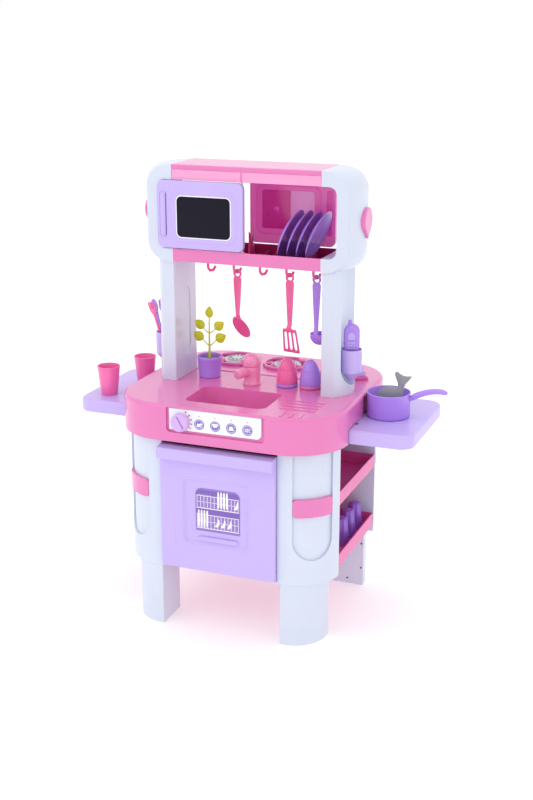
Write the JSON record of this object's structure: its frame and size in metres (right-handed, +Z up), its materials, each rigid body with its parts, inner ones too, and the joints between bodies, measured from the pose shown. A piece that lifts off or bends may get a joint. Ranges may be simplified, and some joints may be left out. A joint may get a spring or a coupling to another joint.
{
  "type": "toy kitchen",
  "caption": "Two-sided children's play kitchen with a sink, hob, drop-down doors, fold-down side flaps, an overhead cabinet on two columns, hooks and toy tableware.",
  "frame": {"origin": "on the floor, midway between the four legs", "axes": "+Z up, -Y towards the sink side, +X to the right as seen from the sink side"},
  "size_m": [0.8207, 0.5126, 1],
  "materials": {
    "black_window": "gloss black window print",
    "cup_pink": "glossy bright pink plastic",
    "deep_pink": "satin deep pink polypropylene",
    "grey": "satin grey plastic",
    "lilac": "satin lilac polypropylene",
    "lime": "satin lime plastic",
    "pink": "satin pink polypropylene",
    "pink_clear": "tinted pink translucent plastic",
    "print_window": "gloss purple printed window",
    "purple": "satin purple polypropylene",
    "silver": "silver-coloured plastic",
    "steel": "bright steel pin",
    "white": "satin bluish white polypropylene"
  },
  "bodies": {
    "kitchen": {"burners": "silver", "cabinet_end_left": "white", "cabinet_end_right": "white", "cabinet_grips": "pink", "cabinet_hinge_pins": "steel", "cabinet_shelf": "pink", "cabinet_top": "pink", "casing": "deep_pink", "column_left": "white", "column_pocket_left": "lilac", "column_pocket_right": "lilac", "column_right": "white", "control_panel_front": "white", "control_panel_rear": "white", "countertop": "pink", "door_hinge_rods": "steel", "feet": "white", "flap_hinge_rods": "steel", "hooks": "pink", "leg_front_left": "white", "leg_front_right": "white", "leg_inserts": "pink", "leg_rear_left": "white", "leg_rear_right": "white", "pan_supports": "pink", "plate_racks": "deep_pink", "shelf_lower_left": "deep_pink", "shelf_lower_right": "deep_pink", "shelf_upper_left": "deep_pink", "shelf_upper_right": "deep_pink", "tap_body": "pink"},
    "dishwasher": {"dishwasher_door": "lilac", "dishwasher_window": "print_window"},
    "oven": {"oven_door": "lilac", "oven_window": "print_window"},
    "cabinet_door_front": {"cabinet_door_front": "lilac", "cabinet_window_front": "black_window"},
    "cabinet_door_rear": {"cabinet_door_rear": "pink_clear", "cabinet_window_rear": "deep_pink"},
    "knob_front": {"control_knob_front": "lilac"},
    "knob_rear": {"control_knob_rear": "lilac"},
    "tap_knob": {"tap_knob": "pink"},
    "flap_left": {"flap_left": "lilac"},
    "flap_right": {"flap_right": "lilac"},
    "spoon": {"spoon": "pink"},
    "turner": {"turner": "purple"},
    "ladle": {"ladle": "purple"},
    "plates": {"plates": "purple"},
    "cups": {"cups": "cup_pink"},
    "saucepan": {"saucepan": "purple"},
    "toy_fish": {"toy_fish": "grey"},
    "potted_plant": {"plant_pot": "purple", "plant": "lime"},
    "shaker_pink": {"shaker_pink": "pink"},
    "shaker_purple": {"shaker_purple": "purple"},
    "cutlery": {"cutlery": "cup_pink"},
    "toy_phone": {"toy_phone": "purple"},
    "toy_iron": {"toy_iron": "lilac"},
    "beakers": {"beakers": "purple"}
  },
  "joints": [
    {"name": "dishwasher_hinge", "type": "hinge", "parent": "kitchen", "child": "dishwasher", "pos_m": [0, -0.213, 0.155], "axis": [1, 0, 0], "range_deg": [0, 90]},
    {"name": "oven_hinge", "type": "hinge", "parent": "kitchen", "child": "oven", "pos_m": [0, 0.213, 0.155], "axis": [-1, 0, 0], "range_deg": [0, 90]},
    {"name": "cabinet_door_front_hinge", "type": "hinge", "parent": "kitchen", "child": "cabinet_door_front", "pos_m": [-0.008, -0.059, 0.894], "axis": [0, 0, 1], "range_deg": [0, 100]},
    {"name": "cabinet_door_rear_hinge", "type": "hinge", "parent": "kitchen", "child": "cabinet_door_rear", "pos_m": [-0.032, 0.059, 0.894], "axis": [0, 0, 1], "range_deg": [0, 100]},
    {"name": "knob_front_turn", "type": "hinge", "parent": "kitchen", "child": "knob_front", "pos_m": [-0.076, -0.236, 0.488], "axis": [0, -1, 0], "range_deg": [-120, 120]},
    {"name": "knob_rear_turn", "type": "hinge", "parent": "kitchen", "child": "knob_rear", "pos_m": [0.076, 0.236, 0.488], "axis": [0, 1, 0], "range_deg": [-120, 120]},
    {"name": "tap_knob_turn", "type": "hinge", "parent": "kitchen", "child": "tap_knob", "pos_m": [-0.004, -0.017, 0.562], "axis": [0, 0, 1], "range_deg": [-90, 90]},
    {"name": "flap_right_hinge", "type": "hinge", "parent": "kitchen", "child": "flap_right", "pos_m": [0.2515, 0, 0.446], "axis": [0, 1, 0], "range_deg": [0, 90]},
    {"name": "flap_left_hinge", "type": "hinge", "parent": "kitchen", "child": "flap_left", "pos_m": [-0.2515, 0, 0.446], "axis": [0, -1, 0], "range_deg": [0, 90]},
    {"name": "spoon_swing", "type": "hinge", "parent": "kitchen", "child": "spoon", "pos_m": [-0.057, 0.03066, 0.7575], "axis": [0.5, 0.866, 0], "range_deg": [-15, 15]},
    {"name": "turner_swing", "type": "hinge", "parent": "kitchen", "child": "turner", "pos_m": [0.067, 0.03066, 0.7575], "axis": [0.5, 0.866, 0], "range_deg": [-3, 12]},
    {"name": "ladle_swing", "type": "hinge", "parent": "kitchen", "child": "ladle", "pos_m": [0.129, 0.03066, 0.7575], "axis": [0.5, 0.866, 0], "range_deg": [-5, 3]},
    {"name": "plates_lift", "type": "slide", "parent": "kitchen", "child": "plates", "axis": [0.3827, 0, 0.9239], "range_m": [0, 0.02]},
    {"name": "cups_lift", "type": "slide", "parent": "flap_left", "child": "cups", "axis": [0, 0, 1], "range_m": [0, 0.1]},
    {"name": "saucepan_lift", "type": "slide", "parent": "flap_right", "child": "saucepan", "axis": [0, 0, 1], "range_m": [0, 0.1]},
    {"name": "fish_lift", "type": "slide", "parent": "saucepan", "child": "toy_fish", "axis": [0, 0, 1], "range_m": [0, 0.08]},
    {"name": "plant_lift", "type": "slide", "parent": "kitchen", "child": "potted_plant", "axis": [0, 0, 1], "range_m": [0, 0.03]},
    {"name": "shaker_pink_lift", "type": "slide", "parent": "kitchen", "child": "shaker_pink", "axis": [0, 0, 1], "range_m": [0, 0.03]},
    {"name": "shaker_purple_lift", "type": "slide", "parent": "kitchen", "child": "shaker_purple", "axis": [0, 0, 1], "range_m": [0, 0.03]},
    {"name": "cutlery_lift", "type": "slide", "parent": "kitchen", "child": "cutlery", "axis": [0, 0, 1], "range_m": [0, 0.06]},
    {"name": "phone_lift", "type": "slide", "parent": "kitchen", "child": "toy_phone", "axis": [0, 0, 1], "range_m": [0, 0.06]},
    {"name": "iron_lift", "type": "slide", "parent": "kitchen", "child": "toy_iron", "axis": [0, 0, 1], "range_m": [0, 0.08]},
    {"name": "beakers_lift", "type": "slide", "parent": "kitchen", "child": "beakers", "axis": [0, 0, 1], "range_m": [0, 0.05]}
  ]
}
